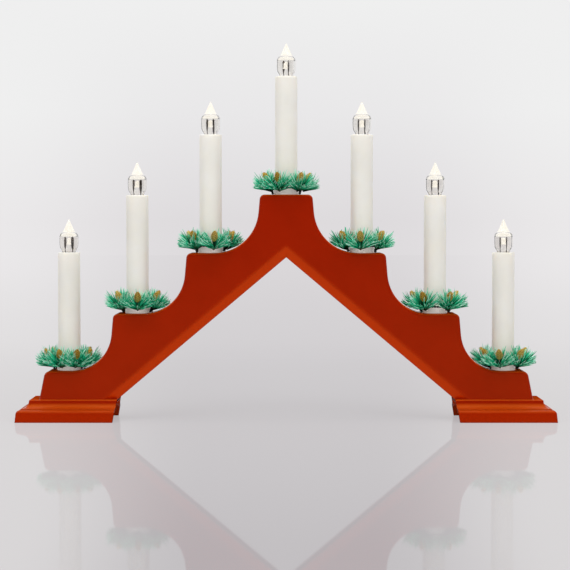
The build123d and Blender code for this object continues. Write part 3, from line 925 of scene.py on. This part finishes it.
def stem_fits(foot, end, solid):
    """True if a stem stays off what lies under it."""
    span = end - foot
    if solid.ray_cast(foot, span.normalized(), span.length + STEM_CLEARANCE)[0] is not None:
        return False
    return solid.find_nearest(end)[3] > STEM_CLEARANCE


def needle_fits(place, root, tip, solid):
    """True if a needle stays in its wreath's space, off the candle and off the arch."""
    offset = tip - place
    if not CANDLE_CLEARANCE <= hypot(offset.x, offset.y) <= NEEDLE_REACH:
        return False
    if offset.z > NEEDLE_TOP:
        return False
    span = tip - root
    return solid.ray_cast(root, span.normalized(), span.length + NEEDLE_CLEARANCE)[0] is None


def clears_cone(place, root, tip, outward):
    """True if the outer half of a needle passes beside the cone and not through it or over its front."""
    cone_foot, cone_tip = cone_ends(place, outward)
    axis = (cone_tip - cone_foot).normalized()
    for share in CONE_GAP_SHARES:
        offset = root.lerp(tip, share) - cone_foot
        along = offset.dot(axis)
        across = offset - along * axis
        if -CONE_GAP_BELOW < along < CONE_LENGTH and across.dot(outward) > -CONE_GAP_BEHIND:
            sideways = across - across.dot(outward) * outward
            if sideways.length < CONE_GAP:
                return False
    return True


def add_stem(shape, foot, stem):
    """Short tapered stem of a tuft."""
    across, along = square_to(stem)
    rings = []
    for share, shade in STEM_SHADES:
        radius = STEM_RADIUS * (1 - STEM_TAPER * share)
        rings.append(circle(foot + stem * STEM_LENGTH * share, across, along, radius, STEM_SIDES))
    shape.add_rings(rings, [shade for share, shade in STEM_SHADES], capped=True)


def add_needle(shape, root, direction, length, width, bend, tint):
    """One stiff needle: a tapered three-sided blade that bends a little and ends in a point."""
    across, along = square_to(direction)
    rings = []
    shades = []
    for share, thickness in NEEDLE_RINGS:
        centre = root + direction * (length * share) + bend * (length * share ** 2)
        rings.append(circle(centre, across, along, width / 2 * thickness, NEEDLE_SIDES))
        # the shade runs along the needle: painted shade at the root, painted highlight at the tip
        shades.append(max(0.0, min(1.0, share + tint)))
    shape.add_rings(rings, shades, capped=True)


def add_tuft(shape, rng, place, outward, solid):
    """Needles set round a short stem and fanned upwards, each cut until it fits."""
    foot = place + (RING_RADIUS - TUFT_IN) * outward + (RING_HEIGHT - TUFT_DROP) * UP
    for pitch in STEM_PITCHES:
        stem = pitched(outward, pitch)
        if stem_fits(foot, foot + stem * STEM_LENGTH, solid):
            break
    add_stem(shape, foot, stem)
    fan = pitched(outward, FAN_PITCH + rng.uniform(-FAN_SCATTER, FAN_SCATTER))
    across, along = square_to(fan)
    for index in range(NEEDLE_COUNT):
        share = index / (NEEDLE_COUNT - 1)
        root = foot + stem * STEM_LENGTH * rng.uniform(0, 1)
        turn = index * GOLDEN_TURN + rng.uniform(-TURN_SCATTER, TURN_SCATTER)
        spread = NEEDLE_SPREAD * (1 - share) ** NEEDLE_CROWDING + rng.uniform(-SPREAD_SCATTER, SPREAD_SCATTER)
        level = cos(turn) * across + sin(turn) * along
        direction = (cos(radians(spread)) * fan + sin(radians(spread)) * level).normalized()
        if direction.z < NEEDLE_LOWEST:
            direction.z = NEEDLE_LOWEST + rng.uniform(*LOWEST_SCATTER)
            direction.normalize()
        length = NEEDLE_LENGTH * rng.uniform(*LENGTH_SCATTER)
        bend = (fan - direction) * rng.uniform(0, NEEDLE_BEND) - UP * rng.uniform(0, NEEDLE_DROOP)
        width = NEEDLE_WIDTH * rng.uniform(*WIDTH_SCATTER)
        tint = rng.uniform(-NEEDLE_TINT, NEEDLE_TINT)
        for cut in NEEDLE_CUTS:
            tip = root + (direction + bend) * length * cut
            if needle_fits(place, root, tip, solid) and clears_cone(place, root, tip, outward):
                add_needle(shape, root, direction, length * cut, width, bend, tint)
                break


def add_tufts(number, place, solid):
    """Pine tufts on the ring."""
    shape = Shape()
    rng = Random(TUFT_SEED + number)
    for angle in TUFT_ANGLES[number - 1]:
        add_tuft(shape, rng, place, outward_at(angle), solid)
    add_piece(
        f"pine_needles_{number}", shape, pine_plastic,
        f"wreath_{number}", "pine_plastic", f"pine_tufts_{number}",
    )


def cone_radius(share):
    """Radius of a cone at a share of its length: full at the belly, narrow at the tip."""
    if share < CONE_BELLY:
        return CONE_RADIUS * (CONE_FOOT + (1 - CONE_FOOT) * share / CONE_BELLY)
    return CONE_RADIUS * (1 - ((share - CONE_BELLY) / CONE_TIP_RUN) ** CONE_TIP_POWER)


def add_scale(shape, centre, axis, level, radius, tint):
    """One scale of a cone: it grows out of the core, widens and ends in a thin raised lip."""
    side = axis.cross(level)
    root = centre + level * SCALE_ROOT * radius
    lip = centre + axis * SCALE_RISE + level * radius
    half = side * (SCALE_HALF * radius + SCALE_EXTRA)
    thick = axis * SCALE_THICK
    curl = level * SCALE_CURL * radius
    edge = axis * SCALE_LIP_RISE
    rings = [
        [root - half * SCALE_ROOT_WIDTH, root - thick, root + half * SCALE_ROOT_WIDTH, root + thick],
        [lip - half - curl, lip - thick * SCALE_KEEL, lip + half - curl, lip + thick],
        [
            lip - half * SCALE_LIP_WIDTH + edge, lip,
            lip + half * SCALE_LIP_WIDTH + edge, lip + axis * SCALE_LIP_THICK,
        ],
    ]
    root_shade, side_shade, lip_shade = SCALE_SHADES
    shape.add_rings(rings, [root_shade, side_shade + tint, lip_shade + tint], capped=True)


def add_cones(number, place):
    """Cones of overlapping scales, one in each tuft."""
    shape = Shape()
    rng = Random(CONE_SEED + number)
    for angle in TUFT_ANGLES[number - 1]:
        outward = outward_at(angle)
        axis = pitched(outward, CONE_PITCH)
        across, along = square_to(axis)
        base = cone_ends(place, outward)[0]
        tint = rng.uniform(-CONE_TINT, CONE_TINT)
        core = []
        for step in range(CONE_STEPS + 1):
            share = step / CONE_STEPS
            centre = base + axis * CONE_LENGTH * share
            core.append(circle(centre, across, along, CONE_CORE * cone_radius(share), CONE_SEGMENTS))
        # the core takes the darkest shade: painted shade between the scales
        shape.add_rings(core, [0.0] * len(core), capped=True)
        for index in range(SCALE_COUNT):
            share = SCALE_FIRST + (SCALE_LAST - SCALE_FIRST) * index / (SCALE_COUNT - 1)
            turn = index * GOLDEN_TURN
            level = cos(turn) * across + sin(turn) * along
            add_scale(shape, base + axis * CONE_LENGTH * share, axis, level, cone_radius(share), tint)
    add_piece(
        f"gold_cones_{number}", shape, cone_plastic,
        f"wreath_{number}", "cone_plastic", f"cones_{number}",
    )


for number in NUMBERS:
    place, sleeve_top = candle_place(number)
    cap_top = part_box(f"lamp_base_{number}")[0].z + CAP_LENGTH
    solid = solid_near(number)
    add_flame(number, place, sleeve_top)
    add_lens(number, place, sleeve_top)
    add_cap(number, place)
    add_led(number, place, cap_top)
    add_led_legs(number, place, sleeve_top, cap_top)
    add_ring(number, place, solid)
    add_tufts(number, place, solid)
    add_cones(number, place)


# Stage

def make_floor_material():
    """Pale floor with painted shade, darker near the object and in a patch behind it, besides a weak shadow
    and a faint mirror image.
    """
    material = bpy.data.materials.new("pale floor")
    material.use_nodes = True
    tree = material.node_tree
    tree.nodes.clear()
    place = add_place(tree, "Object")
    from_front = add_math(tree, "SUBTRACT", place["Y"], FLOOR_FRONT)
    softened = add_math(tree, "ADD", add_math(tree, "MULTIPLY", from_front, from_front), FLOOR_SOFT ** 2)
    ahead = add_math(tree, "ADD", add_math(tree, "SQRT", softened), FLOOR_NEAR - FLOOR_SOFT)
    sideways = add_math(tree, "MULTIPLY", place["X"], FLOOR_SIDE)
    ahead_square = add_math(tree, "MULTIPLY", ahead, ahead)
    side_square = add_math(tree, "MULTIPLY", sideways, sideways)
    depth = add_math(tree, "SQRT", add_math(tree, "ADD", ahead_square, side_square))
    # painted shade: darker near the object and in a middle patch that widens behind it
    nearness = add_math(tree, "DIVIDE", FLOOR_NEAR, depth)
    aside = add_math(tree, "DIVIDE", add_math(tree, "ABSOLUTE", place["X"]), ahead)
    edge_share = add_smooth(tree, aside, PAINTED_SHADE_PATCH_FROM_TO)
    middle = add_ramp(tree, nearness, FLOOR_MIDDLE)
    colour = add_blend(tree, edge_share, middle, add_ramp(tree, nearness, FLOOR_EDGE))
    matt = tree.nodes.new("ShaderNodeBsdfDiffuse")
    tree.links.new(colour, matt.inputs["Color"])
    glow = tree.nodes.new("ShaderNodeEmission")
    tree.links.new(colour, glow.inputs["Color"])
    tree.links.new(add_smooth(tree, depth, SHADE_FROM_TO, FLOOR_GLOW, 1.0), glow.inputs["Strength"])
    mirror = tree.nodes.new("ShaderNodeBsdfGlossy")
    mirror.inputs["Roughness"].default_value = FLOOR_GLOSS_ROUGHNESS
    shaded = add_smooth(tree, depth, SHADE_FROM_TO, FLOOR_SHADED, 0.0)
    gloss = add_smooth(tree, depth, GLOSS_FROM_TO, FLOOR_GLOSS, 0.0)
    seen = add_shader_mix(tree, shaded, glow.outputs["Emission"], matt.outputs["BSDF"])
    seen = add_shader_mix(tree, gloss, seen, mirror.outputs["BSDF"])
    path = tree.nodes.new("ShaderNodeLightPath")
    surface = add_shader_mix(tree, path.outputs["Is Diffuse Ray"], seen, matt.outputs["BSDF"])
    output = tree.nodes.new("ShaderNodeOutputMaterial")
    tree.links.new(surface, output.inputs["Surface"])
    return material


def add_floor():
    """Level floor that the object stands on."""
    half = FLOOR_SIZE / 2
    corners = [(-half, -half, 0), (half, -half, 0), (half, half, 0), (-half, half, 0)]
    mesh = bpy.data.meshes.new("floor")
    mesh.from_pydata(corners, [], [(0, 1, 2, 3)])
    mesh.materials.append(make_floor_material())
    floor = bpy.data.objects.new("floor", mesh)
    bpy.context.scene.collection.objects.link(floor)


def add_world():
    """Pale background for what the camera, gloss and clear plastic see, and plain soft light for the rest."""
    world = bpy.data.worlds.new("studio")
    bpy.context.scene.world = world
    world.use_nodes = True
    tree = world.node_tree
    tree.nodes.clear()
    place = add_place(tree, "Generated")
    height = add_math(tree, "DIVIDE", place["Z"], SKY_TOP)
    # painted shade: the background near the horizon is darker in the middle, carrying on the floor's patch
    edge_share = add_smooth(tree, add_math(tree, "ABSOLUTE", place["X"]), PAINTED_SHADE_PATCH_FROM_TO)
    sky = add_blend(tree, edge_share, add_ramp(tree, height, SKY_MIDDLE), add_ramp(tree, height, SKY_EDGE))
    path = tree.nodes.new("ShaderNodeLightPath")
    glossy_share = add_smooth(tree, place["Y"], GLOSSY_SKY_FROM_TO, GLOSSY_SKY_LEAST, 1.0)
    clear_share = add_smooth(tree, place["Y"], CLEAR_SKY_FROM_TO, CLEAR_SKY_LEAST, 1.0)
    mirrored = add_math(tree, "MULTIPLY", path.outputs["Is Glossy Ray"], glossy_share)
    through = add_math(tree, "MULTIPLY", path.outputs["Is Transmission Ray"], clear_share)
    strength = add_math(tree, "MAXIMUM", mirrored, through)
    strength = add_math(tree, "MAXIMUM", path.outputs["Is Camera Ray"], strength)
    backdrop = tree.nodes.new("ShaderNodeBackground")
    tree.links.new(sky, backdrop.inputs["Color"])
    tree.links.new(strength, backdrop.inputs["Strength"])
    soft = tree.nodes.new("ShaderNodeBackground")
    soft.inputs["Strength"].default_value = WORLD_LIGHT
    surface = add_shader_mix(
        tree, path.outputs["Is Diffuse Ray"], backdrop.outputs["Background"], soft.outputs["Background"]
    )
    output = tree.nodes.new("ShaderNodeOutputWorld")
    tree.links.new(surface, output.inputs["Surface"])


def turn_towards(place, aim):
    """Rotation of a lamp or camera that looks from a place at a point."""
    return (Vector(aim) - Vector(place)).to_track_quat("-Z", "Y").to_euler()


def add_softbox(name, place, size, power):
    """Square area lamp, unseen in reflections."""
    lamp = bpy.data.lights.new(name, "AREA")
    lamp.size = size
    lamp.energy = power
    holder = bpy.data.objects.new(name, lamp)
    holder.location = place
    holder.rotation_euler = turn_towards(place, SOFTBOX_AIM)
    holder.visible_glossy = False
    bpy.context.scene.collection.objects.link(holder)


def add_camera():
    """Camera of the photograph's view."""
    optics = bpy.data.cameras.new("camera")
    optics.lens = CAMERA_LENS
    optics.sensor_width = CAMERA_SENSOR
    camera = bpy.data.objects.new("camera", optics)
    camera.location = CAMERA_PLACE
    camera.rotation_euler = turn_towards(CAMERA_PLACE, CAMERA_AIM)
    bpy.context.scene.collection.objects.link(camera)
    bpy.context.scene.camera = camera


add_floor()
add_world()
for softbox in SOFTBOXES:
    add_softbox(*softbox)
add_camera()
bpy.context.scene.view_settings.view_transform = "Standard"
